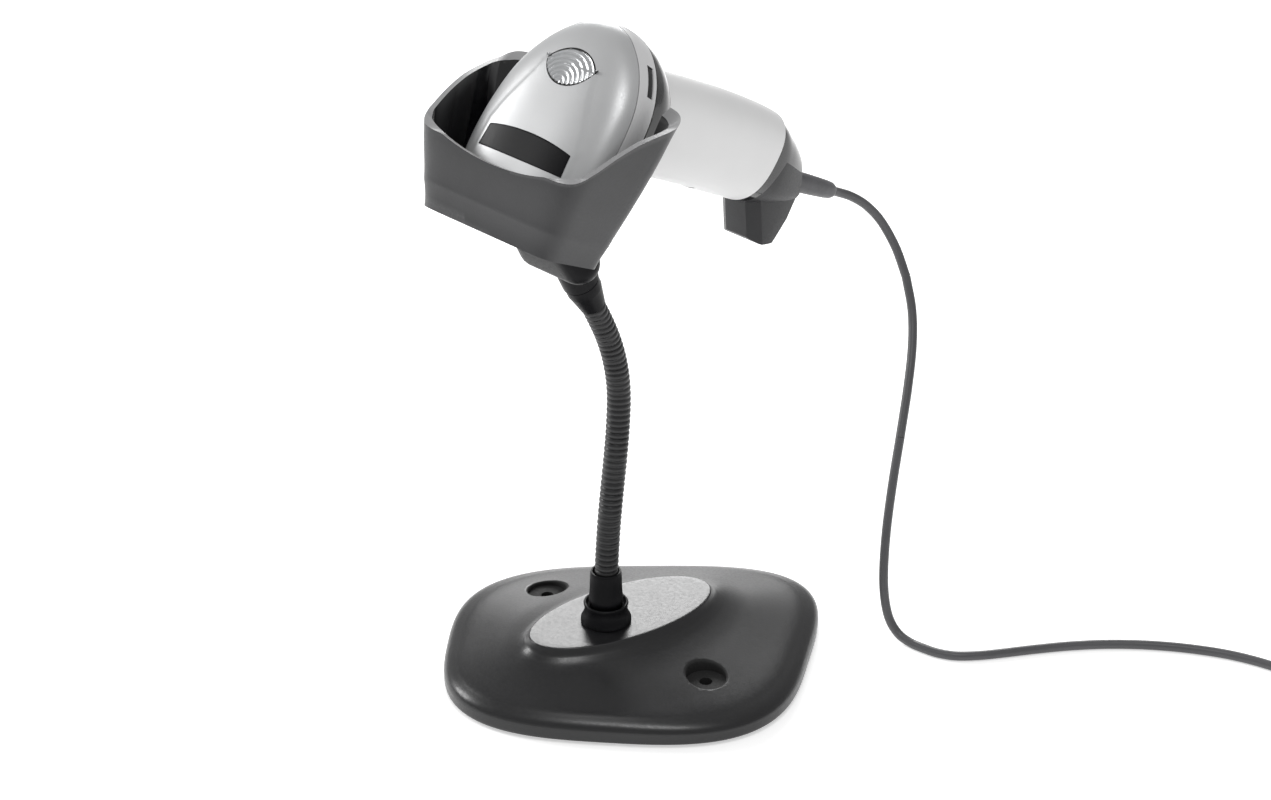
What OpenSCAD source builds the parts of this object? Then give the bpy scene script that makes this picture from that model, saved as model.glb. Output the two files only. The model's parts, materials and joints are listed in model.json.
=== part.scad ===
// Corded hand-held code reader resting in a cup on a flexible neck and a weighted base.
// Millimetres, +Z up. Origin: centre of the base's underside, on the surface it stands on.
// -Y is the way the reader looks, X is across the object.

/* [Base] */
// Half the width of the base between opposite flat sides
base_half = 68; // [66:1:72]
// Height of the base cover's flat top above the table
base_top = 26; // [25:0.5:28]
// Distance between the two screw-down holes
hole_gap = 96; // [90:1:100]
// Diameter of a screw-down hole
hole_d = 5.5; // [4.5:0.5:6.5]
// Thickness of the steel ballast
ballast_t = 6; // [4:1:7]

/* [Neck] */
// Outside diameter of the flexible neck
neck_d = 10; // [9:0.5:11]
// Wall of the neck's sleeve
neck_wall = 1.6; // [1:0.2:2]

/* [Cup] */
// Thickness of the cup's wall
cup_wall = 2.5; // [2:0.1:3]
// Half the width of the gap in the cup's back wall
notch_half = 38.5; // [38.5:0.5:39.5]

/* [Scanner] */
// Half the width of the head
head_half = 36; // [35:0.5:36]
// Wall of the head and the handle
shell = 2.2; // [1.8:0.1:2.6]
// Half the width of the handle
grip_half = 17; // [16:0.5:18]
// Diameter of the trigger's pin
pin_d = 3; // [2.5:0.1:3.2]

/* [Cord] */
// Diameter of the cable
cable_d = 4; // [3.5:0.1:4.5]
// Width of the round coil at the middle of its turns
coil_d = 46; // [44:1:50]
// Width of the bundle of turns across, and its height
bundle = [16, 12]; // [[16, 12], [16, 11], [15, 12]]

/* [Hidden] */
$fn = 48;
gap = 0.3;

// Colours
c_black = [0.07, 0.07, 0.08];
c_dark = [0.2, 0.2, 0.21];
c_silver = [0.66, 0.67, 0.68];
c_light = [0.85, 0.85, 0.85];
c_steel = [0.6, 0.61, 0.63];
c_green = [0.1, 0.3, 0.18];
c_cable = [0.36, 0.36, 0.37];

// Placing: the head's frame has +Z from the nose to the rear end and +Y to the handle's side.
// The handle's frame has +Z down the handle and +Y to the trigger's side. The cup's frame has
// +Z up the way the scanner lifts out and +Y to the back.
head_at = [0, -58, 222];
head_tilt = 42;
head_len = 88;
grip_at = [0, 37, 64.6];
grip_turn = 75;
cup_at = [0, -62, 220];
cup_tilt = 26;
neck_end_turn = 27;

module in_head() translate(head_at) rotate([-head_tilt, 0, 0]) children();
module in_grip() in_head() translate(grip_at) rotate([-grip_turn, 0, 0]) children();
module in_cup() translate(cup_at) rotate([-cup_tilt, 0, 0]) children();
module mirrored() { children(); mirror([1, 0, 0]) children(); }
// Keeps a free-form shape as one mesh
module moulded() resize([0, 0, 0]) children();

// A closed curve between an ellipse (n = 2) and a box (large n)
function oval(hx, hy, n, count) = [for (i = [0 : count - 1])
    let (a = 360 * i / count, c = cos(a), s = sin(a))
    [hx * sign(c) * pow(abs(c), 2 / n), hy * sign(s) * pow(abs(s), 2 / n)]];

// One cross-section: height, half width, low y, high y, squareness, slope of the section in y
function section(z, hx, y0, y1, n, slope, count) = [for (p = oval(hx, (y1 - y0) / 2, n, count))
    let (y = p.y + (y0 + y1) / 2) [p.x, y, z + slope * y]];

// A solid through a stack of rings with the same number of points, lowest first
module skin(rings) {
    n = len(rings[0]);
    m = len(rings);
    polyhedron(
        points = [for (r = rings) each r],
        faces = concat(
            [[for (i = [0 : n - 1]) i]],
            [[for (i = [n - 1 : -1 : 0]) (m - 1) * n + i]],
            [for (k = [0 : m - 2], i = [0 : n - 1])
                let (a = k * n + i, b = k * n + (i + 1) % n) each [[a, a + n, b], [b, a + n, b + n]]]));
}

// A solid through sections [z, half width, low y, high y, squareness, slope], drawn in by "inset"
module loft(list, inset = 0, count = 40) skin([for (s = list)
    section(s[0], s[1] - inset, s[2] + inset, s[3] - inset, s[4], s[5], count)]);

// ---------------------------------------------------------------- base
// The outline has soft corners on X and Y, reaches further at the back and leans to one side
base_lean = 0.16;
function base_plan(half) = [for (p = oval(half, half, 3.2, 56)) let (
    y1 = (p.x + p.y) * sqrt(0.5) * 1.09,
    y = y1 + 0.0012 * y1 * y1 - 1.7) [(p.x - p.y) * sqrt(0.5) + base_lean * y, y]];
function base_ring(z, half) = [for (p = base_plan(half)) [p.x, p.y, z]];
// The raised oval for the neck, nearly flat, blends into the rim: k is 1 at the rim, 0 at the oval
function blend_ring(z, k, drop) = [for (p = base_plan(base_half))
    let (a = atan2(p.y, p.x), y = 43 * sin(a) - 2, x = 20.5 * cos(a) + base_lean * y)
    [p.x * k + x * (1 - k), p.y * k + y * (1 - k), z - drop]];
// Heights of the base's top against k, as it rises from the rim to the oval's edge
base_rise = [[0.975, 8.3], [0.94, 9.5], [0.88, 10.9], [0.8, 12.3], [0.62, 14.4], [0.45, 16.4],
    [0.28, 18.5], [0.14, 20.7], [0.06, 22.6], [0.02, base_top - 1.4], [0, base_top], [-0.06, base_top]];
module base_solid(d) skin(concat([
    base_ring(1.5, base_half - 0.5 - d), base_ring(3, base_half - d),
    base_ring(6.5 - d * 0.5, base_half - d)],
    [for (r = base_rise) blend_ring(r[1], r[0] * (1 - d / 40), d)]));
module at_holes() for (s = [-1, 1]) translate([s * hole_gap / 2, 0, 0]) children();
module at_base_screws() for (a = [45 : 90 : 315]) rotate(a) translate([46, 0, 0]) children();
neck_foot = [0, -11, 0];

module base_cover() color(c_dark) difference() {
    moulded() difference() {
        base_solid(0);
        difference() {
            base_solid(2.6);
            at_holes() translate([0, 0, 9.8]) cylinder(r = 10, h = 20);
            at_base_screws() translate([0, 0, 9.8]) cylinder(r = 3.4, h = 20);
        }
        translate([0, 0, -5]) cylinder(r = 120, h = 6.6);
    }
    at_holes() translate([0, 0, 12.4]) cylinder(r = 8.4, h = 12);
    at_holes() cylinder(d = hole_d, h = 30);
    translate(neck_foot + [0, 0, base_top - 6]) cylinder(r = 7, h = 10);
    at_base_screws() translate([0, 0, 9]) cylinder(r = 1.2, h = 1.6);
}
module ballast_plate() color(c_steel) difference() {
    translate([0, 0, 3.4]) linear_extrude(ballast_t) polygon(base_plan(base_half - 14));
    at_holes() cylinder(d = hole_d + 0.5, h = 20);
    at_base_screws() cylinder(r = 2.2, h = 20);
    translate(neck_foot) cylinder(r = 12.3, h = 20);
}
module base_plate() color(c_black) difference() {
    translate([0, 0, 1.6]) linear_extrude(1.8) polygon(base_plan(base_half - 3.6));
    at_holes() cylinder(d = hole_d, h = 20);
    at_base_screws() cylinder(r = 1.7, h = 20);
    at_base_screws() translate([0, 0, 1]) cylinder(r = 3.1, h = 1.7);
}
module rubber_pad() color(c_black) difference() {
    linear_extrude(1.6) polygon(base_plan(base_half - 9));
    at_holes() translate([0, 0, -1]) cylinder(d = hole_d, h = 20);
}
module base_screws() color(c_steel) at_base_screws() {
    translate([0, 0, 1.65]) difference() {
        cylinder(r = 2.9, h = 1.05);
        translate([0, 0, -1]) cylinder(r = 1.1, h = 1.6, $fn = 6);
    }
    translate([0, 0, 2.7]) cylinder(r = 1.2, h = 7.5);
}

// ---------------------------------------------------------------- neck
// The neck's centre line from the base to the cup: [y, z]
neck_line = [
    [-11, 33], [-10.9, 40], [-10.7, 48], [-10.3, 56], [-9.7, 64], [-9, 72], [-8.1, 80],
    [-7.1, 88], [-6, 96], [-5, 104], [-4.1, 112], [-3.5, 120], [-3.2, 128], [-3.6, 136],
    [-4.9, 144], [-7, 152], [-9.9, 160], [-13.6, 168], [-17.3, 175.2]
];
neck_cuts = [0, 8, 11, 18];
module neck_tube(first, last, r, r_in) {
    line = [for (i = [first : last]) [0, neck_line[i].x, neck_line[i].y]];
    if (r_in > 0) moulded() difference() {
        sweep(line, r, 16, -gap / 2);
        sweep(line, r_in, 12, gap);
    }
    else sweep(line, r, 12, -gap / 2);
}
// A tube of a given radius along a line; "over" makes both ends longer
function unit(v) = v / norm(v);
function way(line, i) = unit(line[min(i + 1, len(line) - 1)] - line[max(i - 1, 0)]);
module sweep(line, r, sides, over) {
    last = len(line) - 1;
    ways = [for (i = [0 : last]) way(line, i)];
    skin([for (i = [0 : last]) let (
        t = ways[i],
        u = unit(cross(t, [0.5, -0.8, 0.3])),
        v = cross(t, u),
        c = line[i] + t * (i == 0 ? -over : i == last ? over : 0))
        [for (k = [0 : sides - 1]) c + r * (cos(360 * k / sides) * u + sin(360 * k / sides) * v)]]);
}

module neck_collar() color(c_black) translate(neck_foot) rotate_extrude()
    polygon([[6.7, base_top - 5.8], [6.7, base_top + 7], [8.6, base_top + 9.2],
        [9.4, base_top + 8.6], [10.6, base_top + 3.4], [10.6, base_top + 0.1],
        [7, base_top + 0.1], [7, base_top - 5.8]]);
module collar_nut() color(c_steel) translate(neck_foot) difference() {
    translate([0, 0, base_top - 9.8]) cylinder(r = 11, h = 4, $fn = 6);
    cylinder(r = 6.5, h = 30);
}
module lower_ferrule() color(c_black) translate(neck_foot) rotate_extrude()
    polygon([[3.8, 15], [6.5, 15], [6.5, 35], [7.3, 37.2], [6.8, 41], [6.6, 49.4], [6.3, 50.2],
        [5.6, 50.2], [5.6, 32.8], [3.8, 32.8]]);
module neck_sleeve_lower() color(c_black)
    neck_tube(neck_cuts[0], neck_cuts[1], neck_d / 2, neck_d / 2 - neck_wall);
module neck_sleeve_middle() color(c_black)
    neck_tube(neck_cuts[1], neck_cuts[2], neck_d / 2, neck_d / 2 - neck_wall);
module neck_sleeve_upper() color(c_black)
    neck_tube(neck_cuts[2], neck_cuts[3], neck_d / 2, neck_d / 2 - neck_wall);
core_r = neck_d / 2 - neck_wall - 0.1;
module neck_core_lower() color(c_steel) neck_tube(neck_cuts[0], neck_cuts[1], core_r, 0);
module neck_core_middle() color(c_steel) neck_tube(neck_cuts[1], neck_cuts[2], core_r, 0);
module neck_core_upper() color(c_steel) neck_tube(neck_cuts[2], neck_cuts[3], core_r, 0);

// ---------------------------------------------------------------- cup
cup_sections = [
    [0, 36, -15.7, 16.4, 8, 0], [10, 38.8, -18, 17.3, 8, 0], [28, 43.5, -22, 18.9, 8, 0],
    [44, 47.4, -24.6, 20, 8, 0], [58, 50, -26, 20.8, 8, 0], [73, 52, -27, 23, 8, 0]];
// The rim's line seen from the side: low at the front, rising to two ears at the back
rim_line = [[-40, 27], [-22, 29.5], [-16, 36], [-8, 44.5], [0, 51.5], [9, 57], [17, 61.5],
    [22, 67], [24, 71], [40, 72.5]];
lip = [25, 9.4];
module cup_shell() color(c_dark) in_cup() moulded() difference() {
    loft(cup_sections, 0, 56);
    difference() {
        translate([0, 0, 0.01]) loft(cup_sections, cup_wall, 56);
        translate([-60, -60, -1]) cube([120, 120, 3.5]);
    }
    translate([0, 0.6, -1]) linear_extrude(6) polygon(oval(lip.x, lip.y, 5, 40));
    translate([-70, 0, 0]) rotate([90, 0, 90])
        linear_extrude(140) polygon(concat(rim_line, [[40, 90], [-40, 90]]));
    translate([0, -10, 146]) rotate([90, 0, 0]) cylinder(r = 120, h = 30, $fn = 96);
    translate([0, 8, 0]) rotate([-90, 0, 0]) linear_extrude(30) polygon([
        [-notch_half, -100], [-notch_half, -30], [-notch_half + 4, -16], [-notch_half + 12.5, -8],
        [notch_half - 12.5, -8], [notch_half - 4, -16], [notch_half, -30], [notch_half, -100]]);
    at_bracket_screws() {
        cylinder(r = 1.3, h = 12);
        translate([0, 0, -4]) cylinder(r = 2.7, h = 5.4);
    }
}
// Two screws go back through the cup's wall into the bracket
module at_bracket_screws() for (s = [-1, 1])
    translate([s * 11, 14.4, 7]) rotate([-90, 0, 0]) children();
boss_y = 31;
module cup_bracket() color(c_black) in_cup() difference() {
    union() {
        hull() {
            for (s = [-1, 1]) translate([s * 11, boss_y, -3]) sphere(r = 8.5, $fn = 28);
            translate([-15, 17.6, -4]) cube([30, 0.6, 15]);
        }
        at_socket() translate([0, 0, 15]) cylinder(r = 7.6, h = 12);
    }
    translate([-20, 10, -15]) cube([40, 7.4, 40]);
    // The neck's end goes up into this hole
    at_socket() translate([0, 0, 14]) cylinder(r = 5.2, h = 10);
    at_bracket_screws() cylinder(r = 1.2, h = 9);
}
// The neck's end, seen from the cup's frame
module at_socket() rotate([cup_tilt, 0, 0]) translate(-cup_at) at_neck_end() children();
module bracket_screws() color(c_steel) in_cup() at_bracket_screws() {
    translate([0, 0, 0.35]) cylinder(r = 2.4, h = 1);
    translate([0, 0, 0.35]) cylinder(r = 1.2, h = 8.3);
}
module at_neck_end() translate([0, -17.3, 175.2]) rotate([neck_end_turn, 0, 0]) children();
module upper_ferrule() color(c_black) at_neck_end() rotate_extrude()
    polygon([[0, 0.3], [5.3, 0.3], [7.2, 10.5], [7.2, 14.5], [5.1, 14.5], [5.1, 23], [0, 23]]);

// ---------------------------------------------------------------- head
nose_slope = 0.287;
head_sections = [
    [0, 28.5, -14, 9, 3.6, nose_slope], [6, 30.4, -15.6, 9.6, 3.6, 0.27],
    [14, head_half - 3.2, -16.8, 10.6, 3.5, 0.22], [24, head_half - 1, -17.5, 13, 3.5, 0.15],
    [34, head_half, -17.8, 16, 3.5, 0.09], [44, head_half, -17.9, 18.6, 3.4, 0.04],
    [54, head_half - 0.8, -17.7, 20.4, 3.2, 0], [62, head_half - 2.7, -17.3, 21.2, 3, 0],
    [69, head_half - 5.8, -16.6, 21, 2.8, 0], [75, head_half - 9.8, -15.6, 19.6, 2.6, 0],
    [80, head_half - 14.6, -14.2, 17, 2.4, 0], [84, head_half - 20, -12, 13, 2.3, 0],
    [87, head_half - 27, -8.6, 7.6, 2.1, 0], [head_len, 3.4, -4, 2, 2, 0]];
module head_solid() loft(head_sections);
// The head's wall, open at the nose: up the inside, then down to the nose and up the outside
module head_wall() skin(concat(
    [for (i = [10 : -1 : 0]) let (s = head_sections[i])
        section(s[0] * 0.97, s[1] - shell, s[2] + shell, s[3] - shell, s[4], s[5], 40)],
    [for (s = head_sections) section(s[0], s[1], s[2], s[3], s[4], s[5], 40)]));
slot_z = 65.6;
cover_y = -9.1;
band_y = -0.45;
// A slab of the head's wall between two heights in y
module head_part(y0, y1) intersection() {
    head_wall();
    translate([-50, y0, -20]) cube([100, y1 - y0, 130]);
}
lens_z = 63;
module eye(w, h) intersection() {
    translate([0, -w * 0.3]) circle(r = h / 2 + w * 0.3);
    translate([0, w * 0.22]) circle(r = h / 2 + w * 0.22);
}
module face_cut(z, depth) translate([0, -17 + depth, z]) rotate([90, 0, 0])
    linear_extrude(10) children();
module head_cover() color(c_silver) in_head() moulded() difference() {
    head_part(-30, cover_y);
    face_cut(lens_z, 6) eye(26.4, 16.4);
    face_cut(28.5, 0.35) label_shape(0.2);
}
module label_shape(grow) polygon(concat(
    [for (i = [0 : 8]) let (x = -22 + 5.5 * i) [x * (1 + grow / 22), 5.2 + grow - 0.0045 * x * x]],
    [[23 + grow, -6.2 - grow], [-23 - grow, -6.2 - grow]]));
module label_plate() color(c_black) in_head() translate([0, -16.7, 28.5])
    rotate([90, 0, 0]) linear_extrude(0.9) label_shape(0);
module indicator_lens() color(c_silver) in_head() translate([0, 0, lens_z]) rotate([90, 0, 0]) {
    translate([0, 0, 13.6]) linear_extrude(3) eye(26, 16);
    for (i = [0 : 4]) intersection() {
        translate([0, 0, 16.4]) linear_extrude(0.7) eye(26, 16);
        translate([0, -7, 0]) rotate_extrude()
            polygon([[2 + 2.4 * i, 16.4], [2.6 + 2.4 * i, 17.1], [3.4 + 2.4 * i, 17.1],
                [4 + 2.4 * i, 16.4]]);
    }
}
module head_ring() color(c_light) in_head() moulded() difference() {
    head_part(cover_y, band_y);
    mirrored() translate([0, -5.4, slot_z - 0.2]) cube([50, 3.2, 11.4]);
}
module side_inserts() color(c_black) in_head() mirrored() intersection() {
    translate([0, -5.2, slot_z]) cube([50, 2.8, 11]);
    moulded() head_wall();
}
module head_rear_shell() color(c_black) in_head() moulded() difference() {
    head_part(band_y, 40);
    translate([0, 8, 61]) rotate([-90, 0, 0]) cylinder(r = 12.7, h = 30, $fn = 30);
}
module nose_bezel() color(c_black) in_head() moulded() difference() {
    skin([for (z = [-0.7, -0.01]) section(z, 28, -13.5, 8.5, 3.6, nose_slope, 40)]);
    translate([0, 0, -4]) skin([for (z = [0, 8]) section(z, 21, -9, 4.4, 5, nose_slope, 24)]);
}
module nose_plane() rotate([atan(nose_slope), 0, 0]) children();
module scan_window() color([0.12, 0.05, 0.07]) in_head() moulded()
    skin([for (z = [0.3, 1.9]) section(z, 25.4, -11, 6, 4, nose_slope, 32)]);
module imager_block() color(c_black) in_head() nose_plane() difference() {
    translate([-14, -7.5, 9]) cube([28, 10.5, 14]);
    translate([-6, -2.2, 8]) cylinder(r = 4, h = 6);
}
module imager_lens() color(c_steel) in_head() nose_plane() translate([-6, -2.2, 6.4])
    rotate_extrude() polygon([[0, 0.4], [2.4, 0.4], [3, 0], [3.9, 0], [3.9, 7.6], [0, 7.6]]);
module light_board() color(c_green) in_head() nose_plane() difference() {
    translate([-19, -8.5, 5]) cube([38, 11.5, 1.2]);
    translate([-6, -2.2, 4]) cylinder(r = 4.3, h = 4);
}
module light_emitters() color(c_light) in_head() nose_plane()
    for (x = [-16, 4, 9.5, 16]) translate([x, -2.2, 3.2]) cylinder(r = 1.7, h = 1.8);
module beeper() color(c_black) in_head() translate([0, -2, 52]) rotate([90, 0, 0]) difference() {
    cylinder(r = 6.2, h = 4.6);
    translate([0, 0, 3]) cylinder(r = 1.2, h = 3);
}

// ---------------------------------------------------------------- handle
grip_sections = [
    [-26, grip_half + 1.2, -21.5, 24, 2.4, 0], [-14, grip_half + 0.6, -21.4, 22, 2.4, 0],
    [0, grip_half, -21.2, 21.2, 2.5, 0], [18, grip_half, -21.2, 21, 2.5, 0],
    [36, grip_half, -21, 21, 2.5, 0], [52, grip_half, -20.2, 21.2, 2.5, 0],
    [66, grip_half - 0.2, -18.8, 21.2, 2.5, 0], [80, grip_half - 0.6, -16, 20.6, 2.5, 0]];
// The handle's end is cut on a slope, so the cap reaches further along its underside
module end_cut(over) translate([0, 0, 64.5 + over]) rotate([-12, 0, 0])
    translate([-40, -50, 0]) cube([80, 100, 80]);
module trigger_hole() translate([-8, 8, 1]) cube([16, 30, 32]);
module grip_wall() difference() {
    loft(grip_sections);
    translate([0, 0, -0.01]) loft([for (s = grip_sections)
        [s[0] * 1.02, s[1] - shell, s[2] + shell, s[3] - shell, s[4], 0]]);
    end_cut(0);
    trigger_hole();
    translate([-20, pivot.x, pivot.y]) rotate([0, 90, 0]) cylinder(d = pin_d, h = 40);
    rotate([grip_turn, 0, 0]) translate(-grip_at) head_solid();
    for (z = [10, 50]) translate([0, -12, z]) rotate([0, -90, 0]) cylinder(r = 2.6, h = 40, $fn = 24);
}
module handle_half(side) in_grip() union() {
    moulded() intersection() {
        grip_wall();
        translate([side > 0 ? 0 : -60, -60, -60]) cube([60, 120, 160]);
    }
    if (side > 0) for (z = [10, 50]) translate([0, -12, z]) rotate([0, 90, 0])
        difference() { cylinder(r = 2.6, h = 14); translate([0, 0, -1]) cylinder(r = 1.2, h = 11); }
}
module handle_right() color(c_light) handle_half(1);
module handle_left() color(c_light) handle_half(-1);
module handle_screws() color(c_steel) in_grip() for (z = [10, 50])
    translate([0, -12, z]) rotate([0, 90, 0]) {
        translate([0, 0, -13.4]) cylinder(r = 2.3, h = 2.4);
        translate([0, 0, -11]) cylinder(r = 1.1, h = 20);
    }

// Trigger: a lever on a pin close to the head, pushed out by a spring against the shell
pivot = [15.5, 5.5];
module trigger_body() {
    difference() {
        linear_extrude(15, center = true) polygon([
            [11.6, 2.6], [19, 1.6], [20.8, 3.4], [21, 9], [20.3, 15], [20.3, 22], [20.9, 28.6],
            [20.4, 31], [19.2, 31.4], [16.6, 29.4], [16.6, 11], [11.6, 9.4]]);
        translate([16.5, 20, 0]) rotate([0, 90, 0]) cylinder(r = 2.9, h = 2);
    }
}
module trigger() color(c_dark) in_grip() difference() {
    multmatrix([[0, 0, 1, 0], [1, 0, 0, 0], [0, 1, 0, 0], [0, 0, 0, 1]]) trigger_body();
    translate([-20, pivot.x, pivot.y]) rotate([0, 90, 0]) cylinder(d = pin_d + 0.1, h = 40);
}
module trigger_pin() color(c_steel) in_grip() translate([-11.5, pivot.x, pivot.y])
    rotate([0, 90, 0]) cylinder(d = pin_d, h = 23);
module trigger_spring() color(c_steel) in_grip() translate([0, 9.3, 20])
    rotate([-90, 0, 0]) difference() {
        cylinder(r = 2.4, h = 9);
        translate([0, 0, -1]) cylinder(r = 1.7, h = 14);
    }
module trigger_switch() color(c_black) in_grip() {
    translate([-3, 9.3, 25]) cube([6, 3, 6]);
    translate([0, 12.3, 28]) rotate([-90, 0, 0]) cylinder(r = 1.4, h = 1.3);
}
module main_board() color(c_green) in_grip() translate([-9, 7.6, -6]) cube([18, 1.6, 58]);

// ---------------------------------------------------------------- handle's end
butt_z = 95;
// The cap's and heel's outline and the line between them, seen from the side: [y, z]
butt_side = [[-20, 60], [-16.5, 66], [-12.5, 77], [-7.5, 83.5], [2, 89.5], [11.5, butt_z],
    [22.6, 93], [33.8, 87.4], [35.6, 80], [34, 73], [22, 62], [21, 54]];
heel_line = [[60, 50], [22, 63.4], [8, 67.6], [-0.5, 71.5], [2, 86], [4, 110], [60, 110]];
module butt_solid() intersection() {
    loft([[48, grip_half, -22, 40, 5, 0], [70, grip_half, -22, 40, 5, 0],
        [82, grip_half - 2, -22, 40, 4.4, 0], [90, grip_half - 4.6, -22, 40, 4, 0],
        [butt_z, grip_half - 6.8, -22, 40, 4, 0]], 0, 32);
    translate([-30, 0, 0]) rotate([90, 0, 90]) linear_extrude(60) polygon(butt_side);
    union() {
        loft([[40, grip_half, -21, 21.2, 2.5, 0], [66, grip_half - 0.2, -17.9, 21.2, 2.5, 0],
            [76, grip_half - 1.4, -13.5, 20.6, 2.6, 0], [86, grip_half - 4.2, -7.5, 19, 2.8, 0],
            [butt_z, grip_half - 7.4, 0, 16, 3, 0]], 0, 32);
        skin([for (s = [[55, 4, 8, 38, 6, 0.6], [59.5, 11, 6, 38, 6, 0.6], [84, 11, 3, 38, 5, 0],
            [butt_z, 8.4, 2, 36, 4, 0]]) section(s[0], s[1], s[2], s[3], s[4], s[5], 24)]);
    }
}
module butt_room() {
    intersection() {
        loft([[40, grip_half - 2.4, -18.6, 18.8, 2.5, 0], [64, grip_half - 2.6, -15.6, 18.8, 2.5, 0],
            [76, grip_half - 4.4, -10.8, 18.2, 2.5, 0], [89, grip_half - 8, -3.5, 16, 2.6, 0]],
            0, 24);
        translate([-40, -40, 40]) cube([80, 80, 47]);
    }
    translate([0, 7.5, 82]) cylinder(r = 4.1, h = 20);
}
module heel_side() translate([-30, 0, 0]) rotate([90, 0, 90])
    linear_extrude(60) polygon(heel_line);
module butt_part(heel) in_grip() moulded() difference() {
    intersection() {
        butt_solid();
        end_cut(0.02);
    }
    butt_room();
    if (heel) difference() { translate([-40, -50, 0]) cube([80, 100, 140]); heel_side(); }
    else heel_side();
}
module butt_cap() color(c_black) butt_part(false);
module butt_heel() color(c_dark) butt_part(true);
module cable_socket() color(c_black) in_grip() difference() {
    translate([-7, 1.5, 63]) cube([14, 12, 17]);
    translate([-5, 3.5, 66]) cube([10, 8, 20]);
}
module cable_plug() color(c_light) in_grip() {
    translate([-4.8, 3.7, 67]) cube([9.6, 7.6, 13.5]);
    translate([0, 7.5, 80.5]) cylinder(r = 3.4, h = 3);
}
relief_end = 127;
module strain_relief() color(c_cable) in_grip() translate([0, 7.5, 0]) rotate_extrude()
    polygon([[0, 83.5], [4, 83.5], [4, 96.5], [4.4, 97.2], [4.3, 110], [3.7, 124.4],
        [cable_d / 2 + 0.4, relief_end], [0, relief_end]]);

// ---------------------------------------------------------------- cord
cable_r = cable_d / 2;
// Points the cable goes through, from the strain relief down to the table and on to the coil
route_upper = [[0, 122.7, 180.9], [0, 127.2, 178.6], [1, 134.5, 174.6], [3, 142, 168.6],
    [6, 148.5, 160], [11, 152.8, 148], [17, 153.4, 136]];
route_middle = [[17.2, 153.3, 135.6], [24, 150, 123.6], [31, 143, 111.6], [38, 133, 97.6],
    [45, 121, 80]];
route_lower = [[45, 121, 80], [50, 111.6, 64], [55, 103, 47.4], [59, 97.4, 32], [62, 95, 20],
    [65.4, 94.6, 10], [70.4, 95.2, 4], [77, 95.8, cable_r], [84, 96.4, cable_r],
    [91, 98, cable_r], [98, 102, cable_r], [104.6, 109.4, cable_r], [110.4, 118, cable_r],
    [118, 130, cable_r], [127, 143, cable_r], [138, 156, cable_r], [151, 168, cable_r],
    [165, 178, cable_r], [180, 186, cable_r], [196, 191, cable_r], [207.5, 192.6, cable_r]];
coil_at = [226, 222, 0];
route_tail = [[256.2, 237.5, cable_r], [258, 248, 2.6], [260.4, 258, 4.2], [260.4, 266, 4.2]];
plug_at = [260.4, 266, 4.2];
module cable_upper() color(c_cable) sweep(route_upper, cable_r, 8, 0);
module cable_middle() color(c_cable) sweep(route_middle, cable_r, 8, 0);
module cable_lower() color(c_cable) sweep(route_lower, cable_r, 8, 0);
module cable_tail() color(c_cable) sweep(route_tail, cable_r, 8, 0);
module cable_coil() color(c_cable) difference() {
    translate(coil_at) rotate_extrude() translate([coil_d / 2 - bundle.x / 2, 0])
        polygon([[2, 0], [bundle.x - 2, 0], [bundle.x, 2], [bundle.x, bundle.y - 2],
            [bundle.x - 2, bundle.y], [2, bundle.y], [0, bundle.y - 2], [0, 2]]);
    at_tie(5.6) translate([-bundle.x / 2 - 2, -1]) square([bundle.x + 4, 1.9]);
}
// The tie is a band round the bundle, in a shallow groove where it passes under the turns
module coil_tie() color(c_black) at_tie(5) difference() {
    tie_outline(1.15, 0);
    tie_outline(0.35, 0.8);
}
module at_tie(width) translate(coil_at) rotate(35) translate([coil_d / 2, 0, 0])
    rotate([90, 0, 0]) linear_extrude(width, center = true) children();
module tie_outline(t, low) translate([-bundle.x / 2, 0]) polygon([
    [1 - t / 2, low], [bundle.x - 1 + t / 2, low], [bundle.x + t, 2 + low / 4],
    [bundle.x + t, bundle.y - 2 + t / 2], [bundle.x - 2 + t / 2, bundle.y + t],
    [2 - t / 2, bundle.y + t], [-t, bundle.y - 2 + t / 2], [-t, 2 + low / 4]]);
module usb_body() color(c_black) translate(plug_at) rotate([-90, 0, 0]) {
    translate([-8, -4, 7]) cube([16, 8, 24]);
    cylinder(r1 = 2.8, r2 = 4.1, h = 7);
}
module usb_shell() color(c_steel) translate(plug_at) rotate([-90, 0, 0]) difference() {
    translate([-6, -2.25, 31]) cube([12, 4.5, 12]);
    translate([-5.7, -1.95, 31.5]) cube([11.4, 3.9, 12]);
}

// ---------------------------------------------------------------- drawing
base_cover();
ballast_plate();
base_plate();
rubber_pad();
base_screws();
neck_collar();
collar_nut();
lower_ferrule();
neck_sleeve_lower();
neck_sleeve_middle();
neck_sleeve_upper();
neck_core_lower();
neck_core_middle();
neck_core_upper();
upper_ferrule();
cup_shell();
cup_bracket();
bracket_screws();
head_cover();
head_ring();
head_rear_shell();
indicator_lens();
label_plate();
side_inserts();
nose_bezel();
scan_window();
imager_block();
imager_lens();
light_board();
light_emitters();
beeper();
main_board();
handle_left();
handle_right();
handle_screws();
trigger();
trigger_pin();
trigger_spring();
trigger_switch();
butt_cap();
butt_heel();
cable_socket();
cable_plug();
strain_relief();
cable_upper();
cable_middle();
cable_lower();
cable_coil();
cable_tail();
coil_tie();
usb_body();
usb_shell();
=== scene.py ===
"""Looks of the hand-held code reader, its stand and its cord.

Shapes are written in millimetres in the part's own frames and scaled by MM when they are made.
"""

import json
import math

import bmesh
import bpy
from mathutils import Matrix, Vector
from mathutils.bvhtree import BVHTree


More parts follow.
